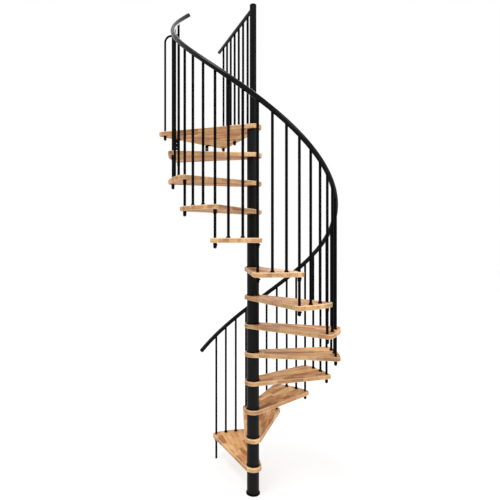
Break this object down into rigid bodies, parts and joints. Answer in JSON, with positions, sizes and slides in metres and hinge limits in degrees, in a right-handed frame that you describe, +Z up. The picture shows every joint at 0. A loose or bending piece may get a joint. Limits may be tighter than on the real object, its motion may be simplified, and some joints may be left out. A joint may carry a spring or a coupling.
{
  "type": "spiral staircase",
  "caption": "Spiral staircase of wooden winder treads and steel spacers on a central pole, with slim black balusters, a helical handrail and a wedge landing with a railing.",
  "frame": {"origin": "middle of the foot flange's underside, on the lower floor", "axes": "+Z up along the central pole; seen from above the flight climbs clockwise from the bearing of +118 degrees, and the landing leaves towards -X +Y"},
  "size_m": [1.5121, 1.556, 4.1681],
  "materials": {
    "wood": "satin lacquered hardwood, finger-jointed staves",
    "steel": "satin black powder coat",
    "trim": "matt black moulded plastic",
    "handrail": "satin black"
  },
  "bodies": {
    "root": {"foot_flange": "steel", "central_pole": "steel", "pole_cap": "trim", "centring_rings": "trim", "spacer_01": "steel", "spacer_02": "steel", "spacer_03": "steel", "spacer_04": "steel", "spacer_05": "steel", "spacer_06": "steel", "spacer_07": "steel", "spacer_08": "steel", "spacer_09": "steel", "spacer_10": "steel", "spacer_11": "steel", "spacer_12": "steel", "spacer_13": "steel", "tread_01": "wood", "tread_02": "wood", "tread_03": "wood", "tread_04": "wood", "tread_05": "wood", "tread_06": "wood", "tread_07": "wood", "tread_08": "wood", "tread_09": "wood", "tread_10": "wood", "tread_11": "wood", "tread_12": "wood", "landing": "wood", "handrail_01": "handrail", "handrail_02": "handrail", "handrail_03": "handrail", "handrail_04": "handrail", "handrail_05": "handrail", "handrail_06": "handrail", "rail_caps": "trim", "through_balusters": "steel", "standing_balusters": "steel", "baluster_feet": "trim", "clamp_collars": "trim", "landing_rail": "handrail", "landing_balusters": "steel", "landing_feet": "trim", "grab_bar": "steel", "floor_brackets": "steel"}
  },
  "joints": []
}
